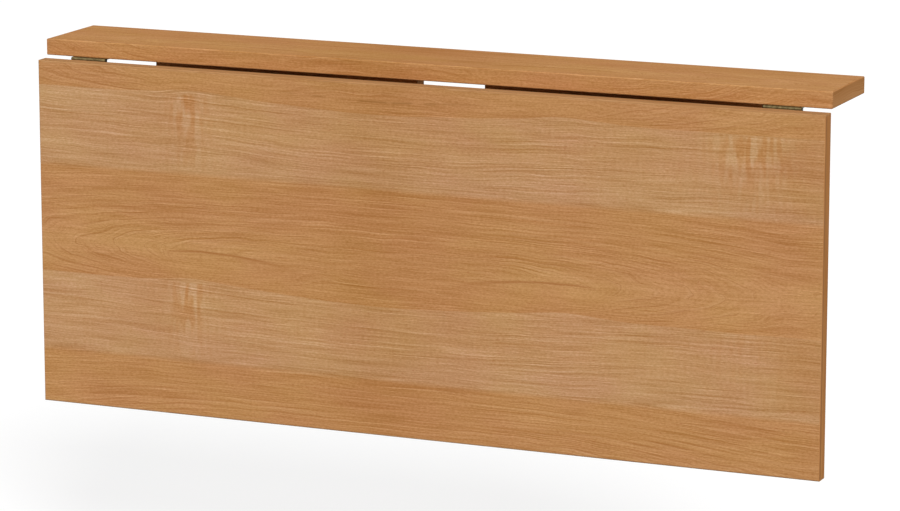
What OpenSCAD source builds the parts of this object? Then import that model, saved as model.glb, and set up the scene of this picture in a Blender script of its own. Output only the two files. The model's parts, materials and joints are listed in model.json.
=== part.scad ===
// Wall-mounted drop leaf table: a fixed shelf, a leaf that hangs from it on two butt hinges,
// and two board supports that swing out from wall battens to carry the raised leaf.
// X runs along the wall, +Y points into the wall, +Z is up.
// The origin is the centre of the shelf's back face. The leaf is shown hanging.

/* [Table] */
// Width of the shelf and of the leaf
table_w = 1100; // [1000:10:1300]
// Depth of the fixed shelf from the wall
shelf_d = 130; // [120:5:180]
// Height of the hanging leaf, which is its depth when it is raised
leaf_h = 466; // [440:2:540]
// Thickness of the shelf board and the leaf board
board_t = 22; // [19:1:28]
// Gap between the shelf and the raised leaf
fold_gap = 2; // [1.6:0.2:3]

/* [Edging] */
// Thickness of the edging strips
edging_t = 2; // [1.8:0.1:3]
// Radius of the rounded arrises along the edging
arris_r = 1.5; // [0.5:0.1:1.7]

/* [Battens] */
// Width of each wall batten
batten_w = 80; // [74:2:110]
// Thickness of each wall batten
batten_t = 18; // [16:1:22]
// Height of each wall batten
batten_h = 370; // [340:2:420]
// Radius of the battens' lower corners
batten_corner_r = 6; // [2:1:12]

/* [Supports] */
// Gap between the tips of the two folded supports
centre_gap = 96; // [60:4:160]
// Thickness of each support
support_t = 22; // [18:1:24]
// Height of each support at its tip
support_tip_h = 120; // [80:5:200]
// Length of the level stretch of each support's lower edge, beside its hinges
support_foot_l = 80; // [60:5:140]
// Radius of the supports' corners
support_corner_r = 14; // [6:1:20]
// Gap between the shelf's underside and the supports
support_drop = 3; // [2.8:0.1:5]
// Length that each batten runs below its support
batten_foot = 11; // [4:1:30]

/* [Rest pads] */
// Length of the pad on each support
pad_l = 40; // [20:2:80]
// Width of the pad
pad_w = 16; // [8:1:18]
// Thickness of the pad
pad_t = 2.5; // [1:0.1:2.6]
// Radius of the pad's corners
pad_corner_r = 3; // [1:0.5:3.5]
// Distance from the support's tip to the pad
pad_inset = 20; // [20:2:60]

/* [Stop blocks] */
// Width of each stop block
stop_w = 24; // [16:1:40]
// Height of each stop block off the leaf
stop_t = 12; // [9:1:16]
// Length of each stop block
stop_l = 60; // [44:2:90]
// Distance from the shelf's front to the stop blocks when the leaf is raised
stop_reach = 200; // [120:5:240]
// Gap between a stop block and the support that it stops
stop_clear = 0.5; // [0.3:0.1:2]
// Distance from a stop block's end to its screw
stop_screw_inset = 14; // [10:1:18]
// Radius of a stop block's corners
stop_corner_r = 3; // [1:0.5:6]

/* [Hinges] */
// Length of every hinge
hinge_l = 50; // [44:2:56]
// Radius of the hinge knuckles
knuckle_r = 2.5; // [2.2:0.1:2.8]
// Radius of the hinge pins
pin_r = 1.25; // [1:0.05:1.5]
// Height of the rivet head at each end of a hinge pin
pin_head_h = 0.9; // [0.5:0.1:1.5]
// Radius of the rivet heads on the hinge pins
pin_head_r = 2.1; // [1.8:0.1:2.2]
// Reach of a hinge plate from the pin's axis
plate_reach = 19; // [18:0.5:24]
// Radius of the plates' far corners
plate_corner_r = 3; // [1:0.5:4]
// Distance from the pin's axis to the outer screws of a plate
screw_row = 11; // [10:0.5:12]
// Distance from the outer screws' row to the middle screw
screw_stagger = 3; // [0:0.5:3]
// Distance along a plate from its end to its outer screws
screw_end = 8; // [6:0.5:12]

/* [Leaf hinges] */
// Distance from the table's end to a leaf hinge
leaf_hinge_inset = 39; // [20:1:80]
// Thickness of the leaf hinges' plates
leaf_plate_t = 1.5; // [1.2:0.1:2]
// Distance from the pin's axis to the board that a leaf hinge's plate lies on
leaf_seat = 2.4; // [2.35:0.05:2.6]

/* [Support hinges] */
// Thickness of the support hinges' plates
support_plate_t = 1; // [0.8:0.1:1.1]
// Distance from the pin's axis to the board that a support hinge's plate lies on
support_seat = 1.2; // [1.15:0.05:1.4]
// Distance from a support's end to its pin's axis
support_axis_out = 3.2; // [3.1:0.1:5]
// Distance from a support's upper and lower edge to the middle of its hinges
support_hinge_inset = 60; // [45:1:90]
// Gap between a turned-out support and the leaf hinge beside it
hinge_side_gap = 2; // [1:0.5:10]

/* [Screws and dowels] */
// Radius of a screw's head
screw_head_r = 2.7; // [2.4:0.1:3]
// Radius of a screw's shank
screw_r = 1.5; // [1.2:0.1:1.7]
// Length of the hinge and bracket screws
screw_l = 14; // [10:1:15]
// Length of the stop blocks' screws
stop_screw_l = 24; // [20:1:26]
// Radius of the shelf dowels
dowel_r = 4; // [3:0.5:5]
// Length of a dowel inside the shelf
dowel_up = 13; // [8:1:15]
// Length of a dowel inside the batten
dowel_down = 23; // [15:1:30]
// Distance from a batten's side to its dowels
dowel_inset = 20; // [19:1:26]

/* [Shelf brackets] */
// Length of each leg of the shelf brackets
bracket_l = 50; // [44:2:70]
// Width of the shelf brackets
bracket_w = 14; // [10:1:15]
// Thickness of the shelf brackets
bracket_t = 2; // [1.5:0.1:3]
// Distance from a bracket's corner to its first screw
bracket_screw_first = 18; // [12:1:20]
// Distance between the two screws of a bracket's leg
bracket_screw_pitch = 20; // [14:1:22]

/* [Wall screw holes] */
// Radius of the wall screw holes
wall_hole_r = 3; // [2.5:0.25:4]
// Radius of their countersinks
wall_sink_r = 5.5; // [5:0.25:7]
// Distance from a batten's upper and lower end to its wall holes
wall_hole_inset = 60; // [45:1:90]

/* [Hidden] */
$fn = 64;

// Clearances: a pin in its knuckles, a fastener in its hole, a dowel's end, knuckle to knuckle,
// and a knuckle turning in a plate's notch
pin_clear = 0.05;
fit_clear = 0.05;
dowel_end_clear = 0.5;
knuckle_gap = 0.3;
notch_clear = 0.3;
head_clear = 0.1;
// Cutting tools run this far past the faces that they open
over = 0.5;

knuckle_count = 5;
outer_knuckles = [0, 2, 4];
inner_knuckles = [1, 3];
sides = [-1, 1];

wood = [0.76, 0.53, 0.33];
strip_wood = [0.72, 0.49, 0.30];
plain_wood = [0.80, 0.66, 0.46];
antique_brass = [0.42, 0.38, 0.24];
steel = [0.62, 0.62, 0.64];
felt = [0.22, 0.20, 0.19];

half_w = table_w / 2;
under_z = -board_t / 2;

// The leaf's hinge axis is midway across the fold gap
axis_y = -shelf_d - fold_gap / 2;
axis_z = under_z - leaf_seat;
leaf_back_y = axis_y - leaf_seat;
leaf_mid_y = leaf_back_y - board_t / 2;
leaf_top_z = axis_z - fold_gap / 2;
leaf_mid_z = leaf_top_z - leaf_h / 2;
leaf_hinge_x = half_w - leaf_hinge_inset - hinge_l / 2;

// A support that is turned out stands just inside the leaf hinge beside it
support_out_x = leaf_hinge_x - hinge_l / 2 - pin_head_h - head_clear - hinge_side_gap;
support_axis_x = support_out_x - support_t - support_seat;
support_axis_y = -batten_t - support_seat;
support_end_x = support_axis_x - support_axis_out;
support_tip_x = centre_gap / 2;
support_back_y = support_axis_y - support_seat;
support_top_z = under_z - support_drop;
support_h = batten_h - support_drop - batten_foot;
support_upper_z = support_top_z - support_hinge_inset;
support_lower_z = support_top_z - support_h + support_hinge_inset;

batten_in_x = support_end_x - batten_w;
batten_mid_x = support_end_x - batten_w / 2;
dowel_xs = [batten_in_x + dowel_inset, support_end_x - dowel_inset];
bracket_screw_spots = [bracket_screw_first, bracket_screw_first + bracket_screw_pitch];
wall_hole_zs = [under_z - wall_hole_inset, under_z - batten_h + wall_hole_inset];

stop_x = support_out_x + stop_clear + stop_w / 2;
stop_z = leaf_top_z - stop_reach - stop_l / 2;
stop_screw_zs = [stop_z - stop_l / 2 + stop_screw_inset, stop_z + stop_l / 2 - stop_screw_inset];

screw_head_h = screw_head_r - screw_r;
screw_point_h = 2 * screw_r;
knuckle_l = (hinge_l - (knuckle_count - 1) * knuckle_gap) / knuckle_count;

// ---- Shared shapes ----

// Draws its children on the right at side 1 and mirrored on the left at side -1
module on_side(side) {
    if (side > 0) {
        children();
    } else {
        mirror([1, 0, 0]) children();
    }
}

module rounded_rect(width, height, corner_r) {
    square([width - 2 * corner_r, height], center = true);
    square([width, height - 2 * corner_r], center = true);
    for (x = sides, y = sides) {
        translate([x * (width / 2 - corner_r), y * (height / 2 - corner_r)]) circle(corner_r);
    }
}

// A rectangle with only its two corners on the -X side rounded
module rounded_left(width, height, corner_r) {
    rounded_rect(width, height, corner_r);
    translate([width / 4, 0]) square([width / 2, height], center = true);
}

// Extrudes a profile drawn in Y and Z along X, centred
module along_x(length) {
    rotate([90, 0, 90]) linear_extrude(length, center = true) children();
}

// Extrudes an outline drawn in X and Z backwards from its place, towards -Y
module towards_front(thickness) {
    rotate([90, 0, 0]) linear_extrude(thickness) children();
}

// Where the straight sides of a rounded outline start and end, for centres listed anticlockwise
function straight_ends(centres, corner_r) = [
    for (i = [0 : len(centres) - 1])
        let (a = centres[i], b = centres[(i + 1) % len(centres)], way = (b - a) / norm(b - a))
            for (end = [a, b]) end + corner_r * [way.y, -way.x]
];

module rounded_outline(centres, corner_r) {
    polygon(straight_ends(centres, corner_r));
    for (centre = centres) {
        translate(centre) circle(corner_r);
    }
}

// A countersunk screw: its head's top is at the origin and it points along +Z
module screw(length) {
    recess_w = 0.6;
    recess_l = screw_r * 2;
    recess_h = screw_head_h * 0.7;
    color(steel) difference() {
        union() {
            cylinder(h = screw_head_h, r1 = screw_head_r, r2 = screw_r);
            translate([0, 0, screw_head_h])
                cylinder(h = length - screw_head_h - screw_point_h, r = screw_r);
            translate([0, 0, length - screw_point_h])
                cylinder(h = screw_point_h, r1 = screw_r, r2 = screw_r / 5);
        }
        for (turn = [0, 90]) {
            rotate(turn) translate([-recess_l / 2, -recess_w / 2, -over])
                cube([recess_l, recess_w, recess_h + over]);
        }
    }
}

module screw_hole(length) {
    translate([0, 0, -over]) cylinder(h = over, r = screw_head_r + fit_clear);
    cylinder(h = screw_head_h, r1 = screw_head_r + fit_clear, r2 = screw_r + fit_clear);
    translate([0, 0, screw_head_h])
        cylinder(h = length - screw_head_h + fit_clear, r = screw_r + fit_clear);
}

// ---- Hinges ----
// In a hinge's own frame the pin is the Z axis, and a plate reaches along -X.
// The board that the plate lies on is at Y = seat.

// Puts children at each of a plate's screws, with +Z pointing into the board
module at_plate_screws(seat, plate_t) {
    half_row = hinge_l / 2 - screw_end;
    for (spot = [[screw_row, -half_row], [screw_row + screw_stagger, 0], [screw_row, half_row]]) {
        translate([-spot.x, seat - plate_t, spot.y]) rotate([-90, 0, 0]) children();
    }
}

module hinge_plate(seat, plate_t, knuckles) {
    notch_r = knuckle_r + notch_clear;
    blank_l = plate_reach - notch_r;
    color(antique_brass) difference() {
        union() {
            translate([-notch_r - blank_l / 2, seat, 0]) towards_front(plate_t)
                rounded_left(blank_l, hinge_l, plate_corner_r);
            for (i = knuckles) {
                translate([0, 0, i * (knuckle_l + knuckle_gap) - hinge_l / 2]) {
                    cylinder(h = knuckle_l, r = knuckle_r);
                    translate([-notch_r - plate_t, seat - plate_t, 0])
                        cube([notch_r + plate_t, plate_t, knuckle_l]);
                }
            }
        }
        cylinder(h = hinge_l + 2 * over, r = pin_r + pin_clear, center = true);
        at_plate_screws(seat, plate_t) screw_hole(screw_l);
    }
}

module hinge_pin() {
    head_z = hinge_l / 2 + head_clear;
    color(antique_brass) {
        cylinder(h = 2 * head_z, r = pin_r, center = true);
        for (end = sides) {
            translate([0, 0, end * (head_z + pin_head_h / 2)])
                cylinder(h = pin_head_h, r = pin_head_r, center = true);
        }
    }
}

// A leaf hinge's frame on the right, for the plate that reaches back under the shelf
module at_shelf_plate() {
    translate([leaf_hinge_x, axis_y, axis_z]) rotate([90, 0, -90]) children();
}

// The same hinge's frame for the plate that reaches down the hanging leaf's back
module at_leaf_plate() {
    translate([leaf_hinge_x, axis_y, axis_z]) rotate([180, -90, 0]) children();
}

// A support hinge's frame on the right, for the plate on the batten's front
module at_batten_plate(hinge_z) {
    translate([support_axis_x, support_axis_y, hinge_z]) children();
}

// The same hinge's frame for the plate on the folded support's back
module at_support_plate(hinge_z) {
    translate([support_axis_x, support_axis_y, hinge_z]) rotate([180, 0, 0]) children();
}

// ---- Fixed shelf and wall battens ----

module shelf_envelope() {
    intersection() {
        along_x(table_w) translate([-shelf_d / 2, 0]) rounded_left(shelf_d, board_t, arris_r);
        towards_front(shelf_d) rounded_rect(table_w, board_t, arris_r);
    }
}

// Puts children at each screw of the right shelf bracket, with +Z pointing into the board
module at_bracket_screws() {
    translate([batten_in_x, -batten_t / 2, under_z]) {
        for (spot = bracket_screw_spots) {
            translate([-spot, 0, -bracket_t]) children();
            translate([-bracket_t, 0, -spot]) rotate([0, 90, 0]) children();
        }
    }
}

module dowel(radius, end_gap) {
    length = dowel_up + dowel_down + 2 * end_gap;
    translate([0, 0, -dowel_down - end_gap]) cylinder(h = length, r = radius);
}

// Puts children at each dowel of the right batten, where it crosses from batten to shelf
module at_dowels() {
    for (x = dowel_xs) {
        translate([x, -batten_t / 2, under_z]) children();
    }
}

module dowel_holes() {
    at_dowels() dowel(dowel_r + fit_clear, dowel_end_clear);
}

module top_shelf() {
    core_w = table_w - 2 * edging_t;
    core_d = shelf_d - edging_t;
    color(wood) difference() {
        translate([-core_w / 2, -core_d, under_z]) cube([core_w, core_d, board_t]);
        for (side = sides) {
            on_side(side) {
                at_shelf_plate() at_plate_screws(leaf_seat, leaf_plate_t) screw_hole(screw_l);
                at_bracket_screws() screw_hole(screw_l);
                dowel_holes();
            }
        }
    }
}

module shelf_front_edging() {
    color(strip_wood) intersection() {
        shelf_envelope();
        translate([-half_w, -shelf_d, under_z]) cube([table_w, edging_t, board_t]);
    }
}

module shelf_end_edging(side) {
    color(strip_wood) on_side(side) intersection() {
        shelf_envelope();
        translate([half_w - edging_t, edging_t - shelf_d, under_z])
            cube([edging_t, shelf_d - edging_t, board_t]);
    }
}

module shelf_left_edging() {
    shelf_end_edging(-1);
}

module shelf_right_edging() {
    shelf_end_edging(1);
}

module wall_screw_hole() {
    sink_h = wall_sink_r - wall_hole_r;
    rotate([-90, 0, 0]) {
        translate([0, 0, -over]) cylinder(h = over, r = wall_sink_r);
        cylinder(h = sink_h, r1 = wall_sink_r, r2 = wall_hole_r);
        translate([0, 0, sink_h]) cylinder(h = batten_t - sink_h + over, r = wall_hole_r);
    }
}

module wall_batten(side) {
    color(wood) on_side(side) difference() {
        translate([batten_mid_x, 0, under_z - batten_h / 2])
            towards_front(batten_t) rotate(90) rounded_left(batten_h, batten_w, batten_corner_r);
        for (z = wall_hole_zs) {
            translate([batten_mid_x, -batten_t, z]) wall_screw_hole();
        }
        for (z = [support_upper_z, support_lower_z]) {
            at_batten_plate(z) at_plate_screws(support_seat, support_plate_t) screw_hole(screw_l);
        }
        at_bracket_screws() screw_hole(screw_l);
        dowel_holes();
    }
}

module left_wall_batten() {
    wall_batten(-1);
}

module right_wall_batten() {
    wall_batten(1);
}

module shelf_dowels() {
    for (side = sides) {
        color(plain_wood) on_side(side) at_dowels() dowel(dowel_r, 0);
    }
}

module shelf_bracket(side) {
    color(steel) on_side(side) difference() {
        translate([batten_in_x, 0, under_z]) translate([0, (bracket_w - batten_t) / 2, 0])
            towards_front(bracket_w) {
                translate([-bracket_l, -bracket_t]) square([bracket_l, bracket_t]);
                translate([-bracket_t, -bracket_l]) square([bracket_t, bracket_l]);
            }
        at_bracket_screws() screw_hole(screw_l);
    }
}

module left_shelf_bracket() {
    shelf_bracket(-1);
}

module right_shelf_bracket() {
    shelf_bracket(1);
}

module bracket_screws() {
    for (side = sides) {
        on_side(side) at_bracket_screws() screw(screw_l);
    }
}

// ---- Leaf hinges ----

module shelf_hinge_plate(side) {
    on_side(side) at_shelf_plate() hinge_plate(leaf_seat, leaf_plate_t, outer_knuckles);
}

module left_shelf_hinge_plate() {
    shelf_hinge_plate(-1);
}

module right_shelf_hinge_plate() {
    shelf_hinge_plate(1);
}

module left_hinge_pin() {
    on_side(-1) at_shelf_plate() hinge_pin();
}

module right_hinge_pin() {
    on_side(1) at_shelf_plate() hinge_pin();
}

module shelf_hinge_screws() {
    for (side = sides) {
        on_side(side) at_shelf_plate() at_plate_screws(leaf_seat, leaf_plate_t) screw(screw_l);
    }
}

module leaf_hinge_plate(side) {
    on_side(side) at_leaf_plate() hinge_plate(leaf_seat, leaf_plate_t, inner_knuckles);
}

module left_leaf_hinge_plate() {
    leaf_hinge_plate(-1);
}

module right_leaf_hinge_plate() {
    leaf_hinge_plate(1);
}

module leaf_hinge_screws() {
    for (side = sides) {
        on_side(side) at_leaf_plate() at_plate_screws(leaf_seat, leaf_plate_t) screw(screw_l);
    }
}

// ---- Support hinges ----

module batten_plate(side, hinge_z) {
    on_side(side) at_batten_plate(hinge_z)
        hinge_plate(support_seat, support_plate_t, outer_knuckles);
}

module left_upper_batten_plate() {
    batten_plate(-1, support_upper_z);
}

module left_lower_batten_plate() {
    batten_plate(-1, support_lower_z);
}

module right_upper_batten_plate() {
    batten_plate(1, support_upper_z);
}

module right_lower_batten_plate() {
    batten_plate(1, support_lower_z);
}

module support_pin(side, hinge_z) {
    on_side(side) at_batten_plate(hinge_z) hinge_pin();
}

module left_upper_support_pin() {
    support_pin(-1, support_upper_z);
}

module left_lower_support_pin() {
    support_pin(-1, support_lower_z);
}

module right_upper_support_pin() {
    support_pin(1, support_upper_z);
}

module right_lower_support_pin() {
    support_pin(1, support_lower_z);
}

module batten_hinge_screws() {
    for (side = sides, z = [support_upper_z, support_lower_z]) {
        on_side(side) at_batten_plate(z)
            at_plate_screws(support_seat, support_plate_t) screw(screw_l);
    }
}

module support_plate(side, hinge_z) {
    on_side(side) at_support_plate(hinge_z)
        hinge_plate(support_seat, support_plate_t, inner_knuckles);
}

module left_upper_support_plate() {
    support_plate(-1, support_upper_z);
}

module left_lower_support_plate() {
    support_plate(-1, support_lower_z);
}

module right_upper_support_plate() {
    support_plate(1, support_upper_z);
}

module right_lower_support_plate() {
    support_plate(1, support_lower_z);
}

module support_screws(side) {
    for (z = [support_upper_z, support_lower_z]) {
        on_side(side) at_support_plate(z)
            at_plate_screws(support_seat, support_plate_t) screw(screw_l);
    }
}

module left_support_screws() {
    support_screws(-1);
}

module right_support_screws() {
    support_screws(1);
}

// ---- Drop leaf ----

module leaf_envelope() {
    translate([0, leaf_mid_y, leaf_mid_z]) intersection() {
        along_x(table_w) rounded_rect(board_t, leaf_h, arris_r);
        linear_extrude(leaf_h, center = true) rounded_rect(table_w, board_t, arris_r);
    }
}

// Puts children at both screws of the right stop block, with +Z pointing into the leaf
module at_stop_screws() {
    for (z = stop_screw_zs) {
        translate([stop_x, leaf_back_y + stop_t, z]) rotate([90, 0, 0]) children();
    }
}

module drop_leaf() {
    color(wood) difference() {
        translate([0, leaf_mid_y, leaf_mid_z])
            cube([table_w - 2 * edging_t, board_t, leaf_h - 2 * edging_t], center = true);
        for (side = sides) {
            on_side(side) {
                at_leaf_plate() at_plate_screws(leaf_seat, leaf_plate_t) screw_hole(screw_l);
                at_stop_screws() screw_hole(stop_screw_l);
            }
        }
    }
}

module leaf_level_edging(bottom_z) {
    color(strip_wood) intersection() {
        leaf_envelope();
        translate([-half_w, leaf_back_y - board_t, bottom_z]) cube([table_w, board_t, edging_t]);
    }
}

module leaf_upper_edging() {
    leaf_level_edging(leaf_top_z - edging_t);
}

module leaf_lower_edging() {
    leaf_level_edging(leaf_top_z - leaf_h);
}

module leaf_end_edging(side) {
    color(strip_wood) on_side(side) intersection() {
        leaf_envelope();
        translate([half_w - edging_t / 2, leaf_mid_y, leaf_mid_z])
            cube([edging_t, board_t, leaf_h - 2 * edging_t], center = true);
    }
}

module leaf_left_edging() {
    leaf_end_edging(-1);
}

module leaf_right_edging() {
    leaf_end_edging(1);
}

module stop_block(side) {
    color(wood) on_side(side) difference() {
        translate([stop_x, leaf_back_y + stop_t, stop_z])
            towards_front(stop_t) rounded_rect(stop_w, stop_l, stop_corner_r);
        at_stop_screws() screw_hole(stop_screw_l);
    }
}

module left_stop_block() {
    stop_block(-1);
}

module right_stop_block() {
    stop_block(1);
}

module stop_block_screws() {
    for (side = sides) {
        on_side(side) at_stop_screws() screw(stop_screw_l);
    }
}

// ---- Swing-out supports ----

// The folded support's outline on the right, shrunk by inset: full height at its hinges,
// level below them, then rising to its tip
module support_outline(inset) {
    r = support_corner_r;
    bottom_z = support_top_z - support_h;
    rounded_outline([
        [support_end_x - r, bottom_z + r],
        [support_end_x - r, support_top_z - r],
        [support_tip_x + r, support_top_z - r],
        [support_tip_x + r, support_top_z - support_tip_h + r],
        [support_end_x - support_foot_l, bottom_z + r]
    ], r - inset);
}

module support(side) {
    color(wood) on_side(side) difference() {
        translate([0, support_back_y, 0]) towards_front(support_t) support_outline(edging_t);
        for (z = [support_upper_z, support_lower_z]) {
            at_support_plate(z) at_plate_screws(support_seat, support_plate_t) screw_hole(screw_l);
        }
    }
}

module left_support() {
    support(-1);
}

module right_support() {
    support(1);
}

module support_edging(side) {
    color(strip_wood) on_side(side) translate([0, support_back_y, 0]) towards_front(support_t)
        difference() {
            support_outline(0);
            support_outline(edging_t);
        }
}

module left_support_edging() {
    support_edging(-1);
}

module right_support_edging() {
    support_edging(1);
}

module support_pad(side) {
    color(felt) on_side(side)
        translate([
            support_tip_x + pad_inset + pad_l / 2,
            support_back_y - support_t / 2,
            support_top_z
        ])
            linear_extrude(pad_t) rounded_rect(pad_l, pad_w, pad_corner_r);
}

module left_support_pad() {
    support_pad(-1);
}

module right_support_pad() {
    support_pad(1);
}

top_shelf();
shelf_front_edging();
shelf_left_edging();
shelf_right_edging();
left_wall_batten();
right_wall_batten();
shelf_dowels();
left_shelf_bracket();
right_shelf_bracket();
bracket_screws();
left_shelf_hinge_plate();
right_shelf_hinge_plate();
left_hinge_pin();
right_hinge_pin();
shelf_hinge_screws();
left_upper_batten_plate();
left_lower_batten_plate();
right_upper_batten_plate();
right_lower_batten_plate();
left_upper_support_pin();
left_lower_support_pin();
right_upper_support_pin();
right_lower_support_pin();
batten_hinge_screws();
drop_leaf();
leaf_upper_edging();
leaf_lower_edging();
leaf_left_edging();
leaf_right_edging();
left_leaf_hinge_plate();
right_leaf_hinge_plate();
leaf_hinge_screws();
left_stop_block();
right_stop_block();
stop_block_screws();
left_support();
left_support_edging();
left_support_pad();
left_upper_support_plate();
left_lower_support_plate();
left_support_screws();
right_support();
right_support_edging();
right_support_pad();
right_upper_support_plate();
right_lower_support_plate();
right_support_screws();
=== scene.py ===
import json
import math

import bmesh
import bpy
from mathutils import Matrix, Vector


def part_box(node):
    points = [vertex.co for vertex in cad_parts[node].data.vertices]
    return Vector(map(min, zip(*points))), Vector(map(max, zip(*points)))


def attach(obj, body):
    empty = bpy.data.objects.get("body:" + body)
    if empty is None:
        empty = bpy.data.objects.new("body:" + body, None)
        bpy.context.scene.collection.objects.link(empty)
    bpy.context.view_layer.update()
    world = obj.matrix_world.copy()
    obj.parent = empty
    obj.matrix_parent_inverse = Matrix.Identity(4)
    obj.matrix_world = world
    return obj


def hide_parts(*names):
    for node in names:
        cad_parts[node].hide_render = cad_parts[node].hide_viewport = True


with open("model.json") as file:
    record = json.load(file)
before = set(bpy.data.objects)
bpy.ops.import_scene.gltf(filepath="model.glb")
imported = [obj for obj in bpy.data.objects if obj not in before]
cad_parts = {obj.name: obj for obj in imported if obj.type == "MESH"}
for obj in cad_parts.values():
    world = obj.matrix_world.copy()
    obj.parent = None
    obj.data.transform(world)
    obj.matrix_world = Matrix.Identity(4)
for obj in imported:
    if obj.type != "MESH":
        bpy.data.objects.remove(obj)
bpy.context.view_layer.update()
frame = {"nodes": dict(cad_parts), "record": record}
nodes = frame["nodes"]
bpy.ops.object.select_all(action="DESELECT")
print("frame loaded:", len(nodes), "nodes")

cameraSetup = {
    "place": (2.10396, -4.96719, 0.85657),
    "tilt": 90 - 11.747,    # degrees
    "turn": 23.146,
    "lens": 166.03,         # mm
    "sensor": 36,
    "clip": (0.1, 100),
}

studio = {
    "floorDrop": 0.74,      # from the shelf's middle to the floor
    "floorSize": 30,
    "floorTone": 0.22,      # what the floor gives back to the object
    "floorWhite": 1.03,     # how bright the camera sees it
    "shadowShare": 0.24,    # how much of that falls away in shadow
    "worldLight": 0.12,
    "lampDistance": 4,
    "suns": {               # the way to each one, and its width in degrees
        "keySun": {"from": (0.45, -0.66, 0.60), "strength": 1.165, "angle": 24},
        "fillSun": {"from": (-0.75, -0.35, 0.30), "strength": 0.24, "angle": 40},
        "backSun": {"from": (0.15, 0.88, 0.26), "strength": 0.72, "angle": 40},
    },
}


def addNode(tree, kind, inputs=None, **settings):
    node = tree.nodes.new(kind)
    for name, value in settings.items():
        setattr(node, name, value)
    for key, value in (inputs or {}).items():
        if isinstance(value, bpy.types.NodeSocket):
            tree.links.new(value, node.inputs[key])
        else:
            node.inputs[key].default_value = value
    return node


def calc(tree, operation, *values, clamp=False):
    node = addNode(tree, "ShaderNodeMath", dict(enumerate(values)), operation=operation)
    node.use_clamp = clamp
    return node.outputs[0]


def addCamera():
    data = bpy.data.cameras.new("viewCamera")
    data.lens = cameraSetup["lens"]
    data.sensor_width = cameraSetup["sensor"]
    data.clip_start, data.clip_end = cameraSetup["clip"]
    camera = bpy.data.objects.new("viewCamera", data)
    camera.location = cameraSetup["place"]
    tilt, turn = math.radians(cameraSetup["tilt"]), math.radians(cameraSetup["turn"])
    camera.rotation_euler = (tilt, 0, turn)
    bpy.context.scene.collection.objects.link(camera)
    bpy.context.scene.camera = camera


def seenDirectly(tree):
    # 1 for rays from the camera, mirror-like ones and those through glass, 0 for the light itself
    path = addNode(tree, "ShaderNodeLightPath")
    seen = calc(tree, "MAXIMUM", path.outputs["Is Camera Ray"], path.outputs["Is Glossy Ray"])
    return calc(tree, "MAXIMUM", seen, path.outputs["Is Transmission Ray"])


def addWorld():
    world = bpy.data.worlds.new("studioWorld")
    bpy.context.scene.world = world
    world.use_nodes = True
    tree = world.node_tree
    tree.nodes.clear()
    strength = addNode(tree, "ShaderNodeMapRange", {
        "Value": seenDirectly(tree), "To Min": studio["worldLight"], "To Max": 1.0})
    background = addNode(tree, "ShaderNodeBackground", {
        "Color": (1, 1, 1, 1), "Strength": strength.outputs["Result"]})
    output = addNode(tree, "ShaderNodeOutputWorld")
    tree.links.new(background.outputs[0], output.inputs["Surface"])


def addSuns():
    for name, sun in studio["suns"].items():
        data = bpy.data.lights.new(name, "SUN")
        data.energy = sun["strength"] * math.pi
        data.angle = math.radians(sun["angle"])
        lamp = bpy.data.objects.new(name, data)
        lamp.rotation_euler = Vector(sun["from"]).to_track_quat("Z", "Y").to_euler()
        lamp.location = Vector(sun["from"]) * studio["lampDistance"]
        bpy.context.scene.collection.objects.link(lamp)


def addFloor():
    place = (0, 0, -studio["floorDrop"])
    bpy.ops.mesh.primitive_plane_add(size=studio["floorSize"], location=place)
    floor = bpy.context.object
    floor.name = "floor"
    material = bpy.data.materials.new("paleFloor")
    material.use_nodes = True
    tree = material.node_tree
    tree.nodes.clear()
    seen = seenDirectly(tree)
    albedo = addNode(tree, "ShaderNodeMapRange", {
        "Value": seen, "To Min": studio["floorTone"], "To Max": studio["shadowShare"]})
    glow = calc(tree, "MULTIPLY", seen, studio["floorWhite"] - studio["shadowShare"])
    matt = addNode(tree, "ShaderNodeBsdfDiffuse", {"Color": albedo.outputs["Result"]})
    lit = addNode(tree, "ShaderNodeEmission", {"Color": (1, 1, 1, 1), "Strength": glow})
    both = addNode(tree, "ShaderNodeAddShader", {0: matt.outputs[0], 1: lit.outputs[0]})
    output = addNode(tree, "ShaderNodeOutputMaterial", {"Surface": both.outputs[0]})
    output.is_active_output = True
    floor.data.materials.append(material)


addCamera()
addWorld()
addSuns()
addFloor()
bpy.context.scene.view_settings.view_transform = "Standard"
print("studio ready")


def toLinear(red, green, blue):
    # an sRGB colour as the shaders want it
    def channel(value):
        value /= 255
        return value / 12.92 if value <= 0.04045 else ((value + 0.055) / 1.055) ** 2.4
    return (channel(red), channel(green), channel(blue), 1)


def newGroup(name, inputs, outputs):
    group = bpy.data.node_groups.new(name, "ShaderNodeTree")
    for title, kind, value in inputs:
        socket = group.interface.new_socket(title, in_out="INPUT", socket_type=kind)
        socket.default_value = value
    for title, kind in outputs:
        group.interface.new_socket(title, in_out="OUTPUT", socket_type=kind)
    given, result = addNode(group, "NodeGroupInput"), addNode(group, "NodeGroupOutput")
    return group, given.outputs, result.inputs


def noiseOn(tree, place, scale, detail, rough):
    return addNode(tree, "ShaderNodeTexNoise", {
        "Vector": place, "Scale": scale, "Detail": detail, "Roughness": rough}).outputs[0]


def noiseAt(tree, across, along, depth, detail=2.0, rough=0.5):
    place = addNode(tree, "ShaderNodeCombineXYZ", {0: across, 1: along, 2: depth})
    return noiseOn(tree, place.outputs[0], 1.0, detail, rough)


def remap(tree, value, low, high, toLow=0.0, toHigh=1.0, smooth=False):
    node = addNode(tree, "ShaderNodeMapRange", {
        "Value": value, "From Min": low, "From Max": high, "To Min": toLow, "To Max": toHigh})
    node.interpolation_type = "SMOOTHSTEP" if smooth else "LINEAR"
    node.clamp = True
    return node.outputs["Result"]


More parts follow.
